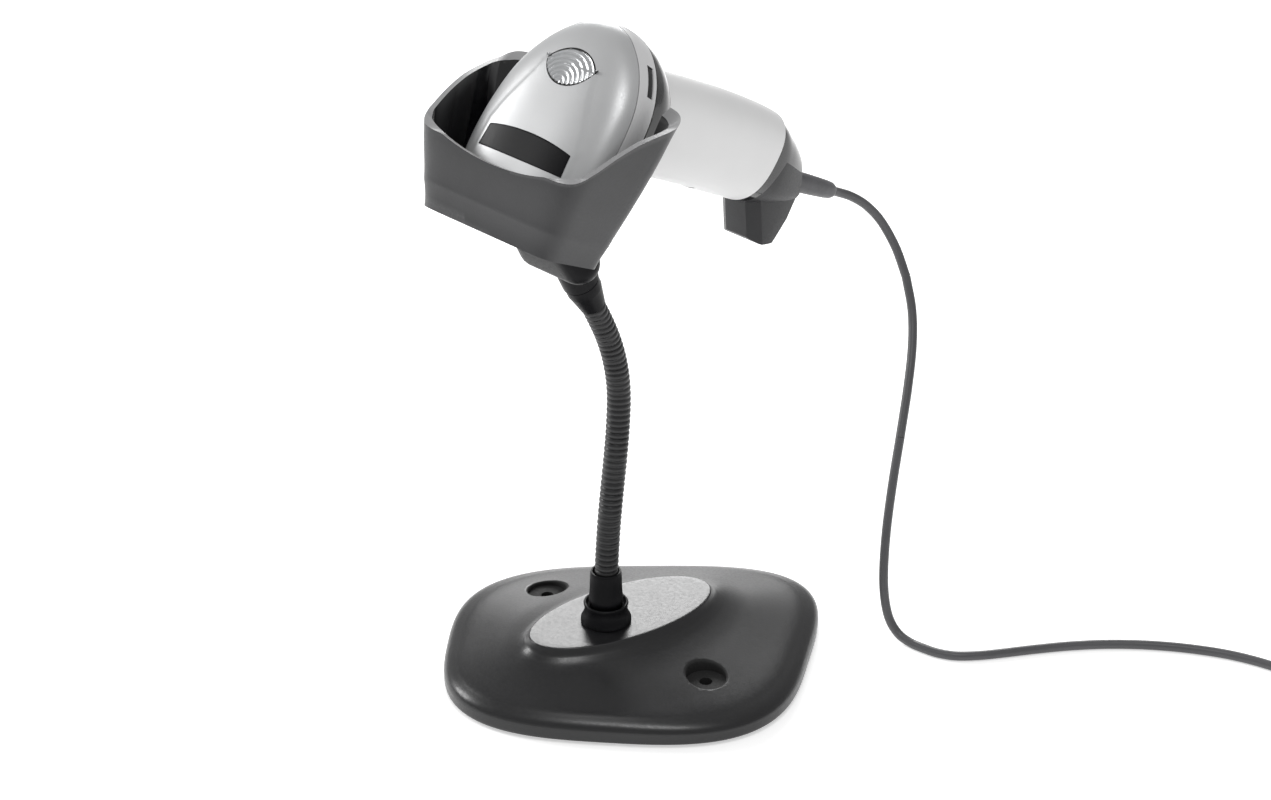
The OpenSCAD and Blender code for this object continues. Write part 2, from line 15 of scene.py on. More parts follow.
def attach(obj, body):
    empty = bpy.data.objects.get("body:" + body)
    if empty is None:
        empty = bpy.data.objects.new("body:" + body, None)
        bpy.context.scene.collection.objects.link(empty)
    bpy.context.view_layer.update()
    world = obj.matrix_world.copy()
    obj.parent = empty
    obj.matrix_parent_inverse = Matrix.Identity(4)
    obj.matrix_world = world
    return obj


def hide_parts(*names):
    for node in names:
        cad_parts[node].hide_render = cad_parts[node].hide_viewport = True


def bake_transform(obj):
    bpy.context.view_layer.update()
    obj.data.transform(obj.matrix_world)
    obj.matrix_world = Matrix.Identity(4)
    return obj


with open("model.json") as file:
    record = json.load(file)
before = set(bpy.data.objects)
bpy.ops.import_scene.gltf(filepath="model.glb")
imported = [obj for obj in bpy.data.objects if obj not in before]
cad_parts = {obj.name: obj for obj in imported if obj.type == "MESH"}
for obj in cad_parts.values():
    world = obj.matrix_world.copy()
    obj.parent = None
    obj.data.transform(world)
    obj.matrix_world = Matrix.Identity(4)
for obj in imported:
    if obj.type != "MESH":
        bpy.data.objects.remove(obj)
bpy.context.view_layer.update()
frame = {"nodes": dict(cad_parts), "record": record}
MM = 0.001

# ------------------------------------------------------------------ camera
CAM_AZIMUTH, CAM_ELEVATION = math.radians(45.5), math.radians(28.0)
CAM_BACK, CAM_RIGHT, CAM_UP = 1.387, 0.0045, 0.1115
LENS_MM, SENSOR_MM = 92.3, 36.0


def add_camera():
    back = Vector((math.sin(CAM_AZIMUTH) * math.cos(CAM_ELEVATION),
                   -math.cos(CAM_AZIMUTH) * math.cos(CAM_ELEVATION), math.sin(CAM_ELEVATION)))
    right = Vector((math.cos(CAM_AZIMUTH), math.sin(CAM_AZIMUTH), 0))
    up = back.cross(right)
    place = back * CAM_BACK + right * CAM_RIGHT + up * CAM_UP
    data = bpy.data.cameras.new("camera")
    data.sensor_width, data.lens = SENSOR_MM, LENS_MM
    data.clip_start, data.clip_end = 0.05, 30
    camera = bpy.data.objects.new("camera", data)
    camera.matrix_world = Matrix(
        [(right[i], up[i], back[i], place[i]) for i in range(3)] + [(0, 0, 0, 1)])
    bpy.context.scene.collection.objects.link(camera)
    bpy.context.scene.camera = camera


add_camera()


# ------------------------------------------------------------------ materials
def material(name, colour, rough, grain=900.0, bump=0.12, vary=0.12, metal=0.0, coat=0.0,
             worn=0.0, glow=0.0, shine=0.5):
    """A moulded or metal surface: fine grain in the bump, slow change of colour, paler edges."""
    mat = bpy.data.materials.new(name)
    mat.use_nodes = True
    nodes, links = mat.node_tree.nodes, mat.node_tree.links
    shader = nodes["Principled BSDF"]
    shader.inputs["Metallic"].default_value = metal
    shader.inputs["Coat Weight"].default_value = coat
    shader.inputs["Coat Roughness"].default_value = 0.1
    shader.inputs["Specular IOR Level"].default_value = shine
    coords = nodes.new("ShaderNodeTexCoord")
    slow, fine = (nodes.new("ShaderNodeTexNoise") for _ in range(2))
    for noise, scale, detail in ((slow, 28.0, 4.0), (fine, grain, 3.0)):
        noise.inputs["Scale"].default_value = scale
        noise.inputs["Detail"].default_value = detail
        links.new(coords.outputs["Object"], noise.inputs["Vector"])
    ramp = nodes.new("ShaderNodeValToRGB")
    ramp.color_ramp.elements[0].position, ramp.color_ramp.elements[1].position = 0.3, 0.72
    ramp.color_ramp.elements[0].color = (*[c * (1 - vary) for c in colour], 1)
    ramp.color_ramp.elements[1].color = (*[min(c * (1 + vary), 1) for c in colour], 1)
    links.new(slow.outputs["Fac"], ramp.inputs["Fac"])
    shade = ramp.outputs["Color"]
    if worn:
        shade = add_wear(nodes, links, shade, fine, colour, worn)
    links.new(shade, shader.inputs["Base Color"])
    spread = nodes.new("ShaderNodeMapRange")
    spread.inputs["From Min"].default_value, spread.inputs["From Max"].default_value = 0.3, 0.7
    spread.inputs["To Min"].default_value = max(rough - 0.05, 0.02)
    spread.inputs["To Max"].default_value = min(rough + 0.06, 1)
    links.new(fine.outputs["Fac"], spread.inputs["Value"])
    links.new(spread.outputs["Result"], shader.inputs["Roughness"])
    dent = nodes.new("ShaderNodeBump")
    dent.inputs["Strength"].default_value = bump
    dent.inputs["Distance"].default_value = 0.0002
    links.new(fine.outputs["Fac"], dent.inputs["Height"])
    links.new(dent.outputs["Normal"], shader.inputs["Normal"])
    if glow:
        shader.inputs["Emission Color"].default_value = (1, 1, 1, 1)
        shader.inputs["Emission Strength"].default_value = glow
    return mat


def add_wear(nodes, links, shade, fine, colour, worn):
    """Rubbed edges: the colour turns paler where the surface is sharply convex."""
    shape = nodes.new("ShaderNodeNewGeometry")
    edge = nodes.new("ShaderNodeMapRange")
    edge.inputs["From Min"].default_value, edge.inputs["From Max"].default_value = 0.53, 0.62
    links.new(shape.outputs["Pointiness"], edge.inputs["Value"])
    patchy = nodes.new("ShaderNodeMath")
    patchy.operation = "MULTIPLY"
    links.new(edge.outputs["Result"], patchy.inputs[0])
    links.new(fine.outputs["Fac"], patchy.inputs[1])
    mix = nodes.new("ShaderNodeMix")
    mix.data_type = "RGBA"
    links.new(patchy.outputs["Value"], mix.inputs["Factor"])
    links.new(shade, mix.inputs["A"])
    mix.inputs["B"].default_value = (*[c + (1 - c) * worn for c in colour], 1)
    return mix.outputs["Result"]


MATS = {
    "base": material("base_satin", (0.012, 0.012, 0.013), 0.33, 900, 0.1, coat=0.1, worn=0.05),
    "neck": material("neck_rubber", (0.014, 0.014, 0.015), 0.4, 900, 0.16, worn=0.04),
    "cup": material("cup_satin", (0.034, 0.034, 0.036), 0.38, 1000, 0.12, coat=0.06, worn=0.06),
    "cup_inner": material("cup_inner_gloss", (0.004, 0.004, 0.005), 0.14, 600, 0.05, coat=0.5),
    # Pale rim: a painted highlight, the bright line along the cup's rim painted into the rim's own colour
    "rim_highlight": material("cup_rim_painted_highlight", (0.3, 0.3, 0.305), 0.4, 1000, 0.1, vary=0.05),
    "silver": material("silver_satin", (0.52, 0.525, 0.53), 0.34, 1600, 0.09, vary=0.05, metal=0.25),
    "pale": material("pale_satin", (0.68, 0.68, 0.685), 0.36, 1300, 0.09, vary=0.03),
    "white": material("white_satin", (0.8, 0.8, 0.8), 0.4, 1300, 0.1, vary=0.02),
    "gloss": material("gloss_black", (0.004, 0.004, 0.005), 0.13, 700, 0.04, coat=0.5),
    "label": material("label_black", (0.006, 0.006, 0.007), 0.34, 1600, 0.08, shine=0.12),
    "black": material("black_satin", (0.007, 0.007, 0.008), 0.36, 900, 0.12, worn=0.03, shine=0.08),
    "charcoal": material("charcoal_satin", (0.03, 0.03, 0.032), 0.42, 1100, 0.16, worn=0.08, shine=0.3),
    "lens": material("lens_pearl", (0.5, 0.51, 0.52), 0.16, 1000, 0.04, coat=0.5, metal=0.4),
    "cord": material("cord_skin", (0.085, 0.085, 0.09), 0.42, 1500, 0.14),
    "relief": material("relief_rubber", (0.085, 0.085, 0.09), 0.5, 520, 0.5, vary=0.45),
    "steel": material("steel_brushed", (0.5, 0.51, 0.53), 0.3, 1200, 0.12, metal=1.0),
    "rubber": material("rubber_matt", (0.015, 0.015, 0.015), 0.75, 900, 0.3),
    "board": material("board_green", (0.015, 0.1, 0.04), 0.35, 1500, 0.1, coat=0.3),
    "window": material("window_tint", (0.03, 0.004, 0.006), 0.1, 500, 0.02, coat=0.4),
    "clear": material("clear_plastic", (0.6, 0.62, 0.64), 0.2, 900, 0.05, coat=0.3),
}
SLOT_LOOK = {
    "base_plastic": "base", "steel": "steel", "rubber": "rubber", "black_plastic": "black",
    "neck_skin": "neck", "cup_plastic": "cup", "silver_plastic": "silver", "pale_plastic": "white",
    "gloss_black": "gloss", "clear_lens": "clear", "window": "window", "board": "board",
    "heel_plastic": "charcoal", "cord_skin": "cord",
}
# The ballast plate at the bottom of the screw holes is black instead of its steel: painted shade deep in the
# holes
HOLE_SHADE_LOOK = {"ballast_plate": "black"}


# ------------------------------------------------------------------ mesh helpers
def frame_at(place, turn_x):
    return Matrix.Translation(Vector(place) * MM) @ Matrix.Rotation(math.radians(turn_x), 4, "X")


HEAD = frame_at((0, -58, 222), -42)
GRIP = HEAD @ frame_at((0, 37, 64.6), -75)
CUP = frame_at((0, -62, 220), -26)
NECK_END = frame_at((0, -17.3, 175.2), 27)
WORLD = Matrix.Identity(4)


def make(name, bm, place, looks, smooth=40):
    """Turns a bmesh in millimetres into an object with smooth shading between its sharp edges."""
    bmesh.ops.scale(bm, vec=(MM, MM, MM), verts=bm.verts)
    mesh = bpy.data.meshes.new(name)
    bm.normal_update()
    bm.to_mesh(mesh)
    bm.free()
    obj = bpy.data.objects.new(name, mesh)
    bpy.context.scene.collection.objects.link(obj)
    for look in looks:
        mesh.materials.append(MATS[look])
    obj.matrix_world = place
    shade(mesh, smooth)
    return obj


def shade(mesh, smooth):
    for face in mesh.polygons:
        face.use_smooth = True
    mesh.set_sharp_from_angle(angle=math.radians(smooth))


def thicken(obj, wall):
    """Gives an open surface a wall, inwards, in millimetres."""
    solid = obj.modifiers.new("wall", "SOLIDIFY")
    solid.thickness, solid.offset, solid.use_even_offset = wall * MM, -1, True
    return obj


def round_edges(obj, width, segments=2, angle=35):
    """Rounds the edges that are sharper than an angle in degrees."""
    edge = obj.modifiers.new("edge", "BEVEL")
    edge.width, edge.segments = width * MM, segments
    edge.limit_method, edge.angle_limit = "ANGLE", math.radians(angle)
    return obj


def bake(obj, smooth=40):
    """Applies the object's modifiers to its mesh."""
    deps = bpy.context.evaluated_depsgraph_get()
    baked = bpy.data.meshes.new_from_object(obj.evaluated_get(deps))
    old = obj.data
    obj.modifiers.clear()
    obj.data = baked
    bpy.data.meshes.remove(old)
    shade(baked, smooth)
    return obj


def combine(obj, tools, how="DIFFERENCE"):
    """Cuts with, joins or keeps the overlap with plain solids, which are then removed."""
    for tool in tools:
        step = obj.modifiers.new("combine", "BOOLEAN")
        step.operation, step.solver, step.object = how, "EXACT", tool
    bake(obj)
    for tool in tools:
        bpy.data.meshes.remove(tool.data)
    return obj


def place_piece(obj, body, slot, *nodes):
    """The piece rides on a body and stands for the nodes, which are hidden; the slot is not used."""
    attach(obj, body)
    if nodes:
        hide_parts(*nodes)
    return obj


def add_rings(bm, rings, cap_start=False, cap_end=False):
    """Quads between successive closed rings of points."""
    rows = [[bm.verts.new(p) for p in ring] for ring in rings]
    count = len(rows[0])
    for low, high in zip(rows, rows[1:]):
        for i in range(count):
            j = (i + 1) % count
            bm.faces.new((low[i], low[j], high[j], high[i]))
    if cap_start:
        bm.faces.new(list(reversed(rows[0])))
    if cap_end:
        bm.faces.new(rows[-1])


def solid(rings):
    """A closed bmesh through rings of points."""
    bm = bmesh.new()
    add_rings(bm, rings, True, True)
    bmesh.ops.recalc_face_normals(bm, faces=bm.faces)
    return bm


def oval(hx, hy, n, count):
    """A closed curve between an ellipse (n = 2) and a box (large n)."""
    ring = []
    for i in range(count):
        a = 2 * math.pi * i / count
        c, s = math.cos(a), math.sin(a)
        ring.append((hx * math.copysign(abs(c) ** (2 / n), c), hy * math.copysign(abs(s) ** (2 / n), s)))
    return ring


def resample(points, count, closed=False):
    """The same curve with evenly spaced points."""
    pts = [Vector(p) for p in points]
    if closed:
        pts.append(pts[0])
    marks = [0.0]
    for a, b in zip(pts, pts[1:]):
        marks.append(marks[-1] + (b - a).length)
    out, k = [], 0
    for i in range(count):
        s = marks[-1] * i / (count if closed else count - 1)
        while k < len(pts) - 2 and marks[k + 1] < s:
            k += 1
        span = marks[k + 1] - marks[k]
        out.append(pts[k].lerp(pts[k + 1], (s - marks[k]) / span if span > 1e-9 else 0.0))
    return out


def spline_row(table, t):
    """The row of a table at the fractional index t, by a smooth curve through the rows."""
    last = len(table) - 1
    t = min(max(t, 0.0), float(last))
    i = min(int(t), last - 1)
    u = t - i
    p0, p1, p2, p3 = (table[min(max(k, 0), last)] for k in (i - 1, i, i + 1, i + 2))
    return [0.5 * (2 * b + (c - a) * u + (2 * a - 5 * b + 4 * c - d) * u * u
                   + (3 * b - a - 3 * c + d) * u ** 3) for a, b, c, d in zip(p0, p1, p2, p3)]


def row_at(table, key):
    """The row of a table whose first column is the key."""
    last = len(table) - 1
    if key <= table[0][0]:
        return list(table[0])
    if key >= table[last][0]:
        return list(table[last])
    i = max(k for k in range(last) if table[k][0] <= key)
    return spline_row(table, i + (key - table[i][0]) / (table[i + 1][0] - table[i][0]))


def section(row, count, inset=0.0):
    """One ring: height, half width, low y, high y, squareness, slope of the section in y."""
    z, hx, y0, y1, n, slope = row
    mid, half = (y0 + y1) / 2, (y1 - y0) / 2
    dense = oval(max(hx - inset, 0.05), max(half - inset, 0.05), n, 4 * count)
    return resample([(x, y + mid, z + slope * (y + mid)) for x, y in dense], count, True)


def loft(table, count, steps, inset=0.0):
    last = len(table) - 1
    return [section(spline_row(table, last * k / steps), count, inset) for k in range(steps + 1)]


def keep_slab(bm, axis, low=None, high=None):
    """Cuts away everything below low or above high along an axis."""
    for limit, sign in ((low, -1), (high, 1)):
        if limit is not None:
            normal, place = Vector((0, 0, 0)), Vector((0, 0, 0))
            normal[axis], place[axis] = sign, limit
            bmesh.ops.bisect_plane(bm, geom=bm.verts[:] + bm.edges[:] + bm.faces[:], dist=1e-5,
                                   plane_co=place, plane_no=normal, clear_outer=True)


def prism(outline, low, high, place, axis="X"):
    """A plain solid with a flat outline, from low to high along an axis, to cut with."""
    turn = {"X": lambda a, b, c: (c, a, b), "Y": lambda a, b, c: (a, c, b),
            "Z": lambda a, b, c: (a, b, c)}[axis]
    rings = [[turn(a, b, c) for a, b in outline] for c in (low, high)]
    return make("tool", solid(rings), place, ["black"], 30)


def lathe(profile, sides=96):
    """A turned solid about Z from [radius, height] points that end where they began or at the axis."""
    bm = bmesh.new()
    turns = [2 * math.pi * i / sides for i in range(sides)]
    add_rings(bm, [[(r * math.cos(a), r * math.sin(a), z) for a in turns] for r, z in profile])
    bmesh.ops.remove_doubles(bm, verts=bm.verts, dist=1e-4)
    bmesh.ops.recalc_face_normals(bm, faces=bm.faces)
    return bm


def circle(cx, cy, r, count=64):
    return [(cx + r * math.cos(2 * math.pi * i / count), cy + r * math.sin(2 * math.pi * i / count))
            for i in range(count)]


def smooth_line(points, step=1.6):
    """Points close together on a smooth curve through the given points."""
    pts = [Vector(p) for p in points]
    ext = [2 * pts[0] - pts[1]] + pts + [2 * pts[-1] - pts[-2]]
    line = []
    for i in range(1, len(ext) - 2):
        count = max(2, int((ext[i + 1] - ext[i]).length / step))
        line += [Vector(spline_row(ext[i - 1: i + 3], 1 + k / count)) for k in range(count)]
    return line + [pts[-1]]


# ------------------------------------------------------------------ cord
CABLE_D = 4.0
ROUTE_UPPER = [
    (0, .1227, .1809), (0, .1272, .1786), (.001, .1345, .1746), (.003, .142, .1686),
    (.006, .1485, .160), (.011, .1528, .148), (.017, .1534, .136)]
ROUTE_MIDDLE = [(.017, .1534, .136), (.024, .150, .1236), (.031, .143, .1116), (.038, .133, .0976),
                (.045, .121, .080)]
ROUTE_LOWER = [
    (.045, .121, .080), (.050, .1116, .064), (.055, .103, .0474), (.059, .0974, .032),
    (.062, .095, .020), (.0654, .0946, .010), (.0704, .0952, .004), (.077, .0958, .002),
    (.084, .0964, .002), (.091, .098, .002), (.098, .102, .002), (.1046, .1094, .002),
    (.1104, .118, .002), (.118, .130, .002), (.127, .143, .002), (.138, .156, .002),
    (.151, .168, .002), (.165, .178, .002), (.180, .186, .002), (.196, .191, .002),
    (.212, .193, .002), (.226, .193, .002)]
ROUTE_TAIL = [(.255, .222, .002), (.2562, .2375, .002), (.258, .248, .0026), (.2604, .258, .0042),
              (.2604, .266, .0042)]
COIL_AT = (226.0, 222.0)
COIL_LAYERS = [(2.0, (29.0, 25.0, 21.0, 17.0)), (5.6, (19.2, 23.2, 27.2)), (9.2, (29.0, 25.0, 21.0, 17.0))]
COIL_OUT, COIL_LEAVES = 29.0, ((-1.2, 9.0), (-0.7, 7.0), (-0.3, 4.4))
TURN_STEPS, STEP_FROM = 48, 0.8
SIDE_REF = Vector((0.5, -0.8, 0.3))


def ease(t):
    t = min(max(t, 0.0), 1.0)
    return t * t * (3 - 2 * t)


def in_mm(route):
    return [Vector(p) / MM for p in route]


def line_length(line):
    return sum((b - a).length for a, b in zip(line, line[1:]))


def tube(bm, line, radius, sides=20, caps=True):
    """A round tube along a line; radius is a function of the length along it."""
    rings, side, run = [], None, 0.0
    for i, p in enumerate(line):
        ahead = (line[min(i + 1, len(line) - 1)] - line[max(i - 1, 0)]).normalized()
        run += (p - line[i - 1]).length if i else 0.0
        side = ahead.cross(SIDE_REF) if side is None else side - ahead * side.dot(ahead)
        side.normalize()
        other, r = ahead.cross(side), radius(run)
        turns = [2 * math.pi * k / sides for k in range(sides)]
        rings.append([p + r * (math.cos(a) * side + math.sin(a) * other) for a in turns])
    add_rings(bm, rings, caps, caps)


def coil_turns():
    """The wound length: turns beside and on each other, joined by short steps."""
    rows = [(r, z) for z, radii in COIL_LAYERS for r in radii]
    line = []
    for (r, z), (next_r, next_z) in zip(rows, rows[1:] + rows[-1:]):
        for k in range(TURN_STEPS):
            u = k / TURN_STEPS
            w = ease((u - STEP_FROM) / (1 - STEP_FROM))
            a = -math.pi / 2 + 2 * math.pi * u
            reach = r + (next_r - r) * w
            line.append(Vector((COIL_AT[0] + reach * math.cos(a), COIL_AT[1] + reach * math.sin(a),
                                z + (next_z - z) * w)))
    return line


def add_cable(name, line, nodes):
    """One length of cable between two bodies, as a fixed tube along the line."""
    bm = bmesh.new()
    tube(bm, line, lambda run: CABLE_D / 2 - 0.02)
    obj = make(name, bm, WORLD, ["cord"], 60)
    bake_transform(obj)
    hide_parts(*nodes)


def build_cord():
    upper, middle = smooth_line(in_mm(ROUTE_UPPER)), smooth_line(in_mm(ROUTE_MIDDLE))
    add_cable("cable_top_length", upper,
              ["cable_upper"])
    add_cable("cable_mid_length", middle,
              ["cable_middle"])
    coil = coil_turns()
    # The last turn comes down round the coil's outside and leaves for the plug
    down = [Vector((COIL_AT[0] + COIL_OUT * math.cos(a), COIL_AT[1] + COIL_OUT * math.sin(a), z))
            for a, z in COIL_LEAVES]
    tail = smooth_line([coil[-1]] + down + in_mm(ROUTE_TAIL))
    lower = smooth_line(in_mm(ROUTE_LOWER))[:-1] + coil[:-1] + tail
    add_cable("cable_long_length", lower,
              ["cable_lower", "cable_coil", "cable_tail"])


build_cord()

# ------------------------------------------------------------------ base
BASE_HALF, BASE_LEAN = 68.0, 0.16
BASE_COUNT, BASE_SQUARE = 224, 3.2
# How far the plan is drawn out from front to back, how much it bows, and how far it is set forward
BASE_STRETCH, BASE_BOW, BASE_SET = 1.09, 0.0012, 1.7
BASE_SKIRT = [(3.5, 3.4), (1.7, 3.3), (1.6, 2.9)]
RIM_STEPS, RISE_STEPS, TOP_INSETS = 8, 55, (0.9, 0.7, 0.5, 0.3, 0.12)
OVAL_HALF_X, OVAL_HALF_Y, OVAL_Y = 20.5, 43, -2
BASE_RIM = [(1.6, 0.6), (2.2, 0.15), (3.2, 0), (4.8, -0.03), (6, 0)]
BASE_RISE = [(1, 6.2), (0.993, 7.2), (0.975, 8.4), (0.94, 9.6), (0.88, 10.9), (0.8, 12.3),
             (0.62, 14.4), (0.45, 16.4), (0.28, 18.5), (0.14, 20.7), (0.06, 22.6)]
# The raised oval's edge: a short steep side and a small round
BASE_LIP = [(0.04, 23.3), (0.024, 24.2), (0.012, 25.0), (0.006, 25.5), (0.001, 25.82), (-0.008, 25.97),
            (-0.02, 26.0)]
HOLE_X, RECESS_R, RECESS_Z, HOLE_R = 48.0, 8.4, 12.4, 2.75
# Growth of the radius and drop below the cover's surface, up the hole's rounded mouth
HOLE_MOUTH = ((0, 0.9), (0.12, 0.5), (0.35, 0.22), (0.8, 0.03), (1.3, -0.12))
NECK_FOOT = Vector((0, -11, 0))


def base_plan(half):
    ring = []
    for px, py in oval(half, half, BASE_SQUARE, BASE_COUNT):
        run = (px + py) * math.sqrt(0.5) * BASE_STRETCH
        y = run + BASE_BOW * run * run - BASE_SET
        ring.append((((px - py) * math.sqrt(0.5) + BASE_LEAN * y), y))
    return ring


def top_oval(px, py):
    a = math.atan2(py, px)
    y = OVAL_HALF_Y * math.sin(a) + OVAL_Y
    return OVAL_HALF_X * math.cos(a) + BASE_LEAN * y, y


def blend_ring(k, z):
    ring = []
    for px, py in base_plan(BASE_HALF):
        ox, oy = top_oval(px, py)
        ring.append((px * k + ox * (1 - k), py * k + oy * (1 - k), z))
    return ring


def hole_tool(cx, tree):
    """A screw hole's recess and bore, with a rounded mouth that follows the cover's slope."""
    rings = [[(x, y, z) for x, y in circle(cx, 0, r)]
             for r, z in ((HOLE_R, -2), (HOLE_R, RECESS_Z), (RECESS_R, RECESS_Z))]
    for grow, drop in HOLE_MOUTH:
        ring = []
        for x, y in circle(cx, 0, RECESS_R + grow):
            height = tree.ray_cast(Vector((x, y, 60)), Vector((0, 0, -1)))[0].z
            ring.append((x, y, height - drop))
        rings.append(ring)
    rings.append([(x, y, 40) for x, y in circle(cx, 0, RECESS_R + 1.35)])
    bm = solid(rings)
    for face in bm.faces:
        face.material_index = 1
    return make("tool", bm, WORLD, ["base", "rubber"], 30)


def build_base():
    rim = [spline_row(BASE_RIM, (len(BASE_RIM) - 1) * k / RIM_STEPS) for k in range(RIM_STEPS + 1)]
    rings = [[(x, y, z) for x, y in base_plan(BASE_HALF - d)] for z, d in BASE_SKIRT + rim]
    rings += [blend_ring(*spline_row(BASE_RISE, (len(BASE_RISE) - 1) * k / RISE_STEPS))
              for k in range(RISE_STEPS + 1)]
    rings += [blend_ring(k, z) for k, z in BASE_LIP]
    last = rings[-1]
    middle = sum((Vector(p) for p in last), Vector()) / len(last)
    rings += [[middle.lerp(Vector(p), s) for p in last] for s in TOP_INSETS]
    bm = solid(rings)
    tree = BVHTree.FromBMesh(bm)
    tools = [hole_tool(side * HOLE_X, tree) for side in (-1, 1)]
    tools.append(prism(circle(NECK_FOOT.x, NECK_FOOT.y, 7), 10, 40, WORLD, "Z"))
    obj = combine(make("base_skin", bm, WORLD, ["base", "rubber"], 50), tools)
    place_piece(obj, "stand_base", "base_plastic", "base_cover")


COLLAR = [(6.9, 21), (6.9, 26.0), (10.3, 26.0), (10.6, 26.4), (10.6, 27.6), (10.2, 28.5), (9.5, 29.7),
          (9.1, 31.2), (9.0, 32.8), (9.15, 33.8), (9.4, 34.4), (9.35, 34.95), (9.0, 35.2), (8.5, 35.1),
          (8.1, 34.6), (7.7, 33.9), (6.9, 33.5), (6.9, 21)]
LOWER_FERRULE = [(5.3, 20), (6.5, 20), (6.5, 34.6), (6.9, 35.4), (7.25, 36.4), (7.3, 37.2), (7.1, 38.4),
                 (6.9, 40.4), (6.75, 45), (6.65, 48.9), (6.5, 49.7), (6.2, 50.1), (5.7, 50.1),
                 (5.35, 49.7), (5.3, 20)]
UPPER_FERRULE = [(0, 0.4), (5.0, 0.4), (5.3, 0.7), (5.5, 1.8), (6.1, 5), (6.8, 8.6), (7.0, 9.6),
                 (7.2, 10.3), (7.2, 14.1), (6.9, 14.5), (5.1, 14.5), (5.1, 23), (0, 23)]


def build_collars():
    foot = Matrix.Translation(NECK_FOOT * MM)
    for name, profile, place, body, node in (
            ("collar_skin", COLLAR, foot, "stand_base", "neck_collar"),
            ("foot_ferrule_skin", LOWER_FERRULE, foot, "stand_base", "lower_ferrule"),
            ("top_ferrule_skin", UPPER_FERRULE, NECK_END, "cup", "upper_ferrule")):
        place_piece(make(name, lathe(profile), place, ["black"], 30), body, "black_plastic", node)


# ------------------------------------------------------------------ neck
NECK_LINE = [
    (-11, 33), (-10.9, 40), (-10.7, 48), (-10.3, 56), (-9.7, 64), (-9, 72), (-8.1, 80), (-7.1, 88),
    (-6, 96), (-5, 104), (-4.1, 112), (-3.5, 120), (-3.2, 128), (-3.6, 136), (-4.9, 144), (-7, 152),
    (-9.9, 160), (-13.6, 168), (-17.3, 175.2)]
NECK_R, RIB_PITCH, RIB_DEPTH = 5.0, 2.55, 0.75


def neck_ribs(run):
    """Rounded ribs with narrow grooves between them."""
    return NECK_R - RIB_DEPTH * (1 - math.sin(math.pi * (run / RIB_PITCH % 1.0)) ** 0.45)


def build_neck():
    line = smooth_line([(0, y, z) for y, z in NECK_LINE], 0.32)
    for name, node, bodies, low, high in (
            ("neck_skin_low", "neck_sleeve_lower", ("stand_base", "neck_middle"), 0, 8),
            ("neck_skin_mid", "neck_sleeve_middle", None, 8, 11),
            ("neck_skin_high", "neck_sleeve_upper", ("neck_middle", "cup"), 11, 18)):
        low_z, high_z = NECK_LINE[low][1], NECK_LINE[high][1]
        part = [p for p in line if low_z - 1e-6 <= p.z <= high_z + 1e-6]
        before = line_length([p for p in line if p.z <= low_z + 1e-6])
        bm = bmesh.new()
        tube(bm, part, lambda run, start=before: neck_ribs(run + start), 40, False)
        obj = make(name, bm, WORLD, ["neck"], 60)
        if bodies:
            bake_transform(obj)
        else:
            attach(obj, "neck_middle")
        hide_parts(node)


# ------------------------------------------------------------------ cup
CUP_SECTIONS = [
    (0, 36, -15.7, 16.4, 8), (10, 38.8, -18, 17.3, 8), (28, 43.5, -22, 18.9, 8),
    (44, 47.4, -24.6, 20, 8), (58, 50, -26, 20.8, 8), (73, 52, -27, 23, 8)]
RIM_LINE = [(-40, 27), (-22, 29.5), (-16, 36), (-8, 44.5), (0, 51.5), (9, 57), (17, 61.5), (22, 67),
            (24, 71), (40, 72.5)]
NOTCH = [(8, 26), (16, 34.5), (30, 38.5), (200, 38.5)]
CUP_WALL, CUP_FLOOR, NOTCH_Z = 2.5, 2.5, 8.0
DISH_R, DISH_Z, DISH_FROM = 120.0, 146.0, -17.0
LIP_X, LIP_Y, LIP_N, LIP_MID = 25.0, 9.4, 5, 0.6
WALL_COLUMNS, BACK_COLUMNS, WALL_ROWS = 260, 44, 26
TOP_Z = 76


def notch_half(z):
    for (z0, w0), (z1, w1) in zip(NOTCH, NOTCH[1:]):
        if z <= z1:
            return w0 + (w1 - w0) * max(z - z0, 0) / (z1 - z0)
    return NOTCH[-1][1]


def cup_ring(z, inset):
    """The wall from one side of the back gap round the front to the other, then across the back."""
    _, hx, y0, y1, n = row_at(CUP_SECTIONS, z)
    hx, hy, mid = hx - inset, (y1 - y0) / 2 - inset, (y0 + y1) / 2
    start = math.acos(min(notch_half(z) / hx, 1) ** (n / 2))

    def arc(a0, a1, count):
        path = []
        for k in range(721):
            a = a0 + (a1 - a0) * k / 720
            c, s = math.cos(a), math.sin(a)
            path.append((hx * math.copysign(abs(c) ** (2 / n), c),
                         mid + hy * math.copysign(abs(s) ** (2 / n), s), z))
        return resample(path, count)

    wall = arc(start, -math.pi - start, WALL_COLUMNS)
    back = arc(math.pi - start, start, BACK_COLUMNS + 2)[1:-1]
    return wall, back


def rim_limit(p):
    height = row_at(RIM_LINE, p.y)[1]
    if p.y < DISH_FROM and abs(p.x) < DISH_R:
        height = min(height, DISH_Z - math.sqrt(DISH_R ** 2 - p.x ** 2))
    return height


def cup_columns(inset):
    """For each column of the wall, its points from the back gap's lowest height to the rim."""
    levels = [NOTCH_Z + k for k in range(int(TOP_Z - NOTCH_Z) + 1)]
    walls = [cup_ring(z, inset)[0] for z in levels]
    columns = []
    for i in range(WALL_COLUMNS):
        path = [wall[i] for wall in walls]
        over = next((k for k, p in enumerate(path) if p.z > rim_limit(p)), len(path) - 1)
        a, b = path[over - 1], path[over]
        gap_a, gap_b = rim_limit(a) - a.z, rim_limit(b) - b.z
        t = over - 1 + (gap_a / (gap_a - gap_b) if gap_a > gap_b else 1)
        columns.append([spline_row(path, t * k / WALL_ROWS) for k in range(WALL_ROWS + 1)])
    return columns


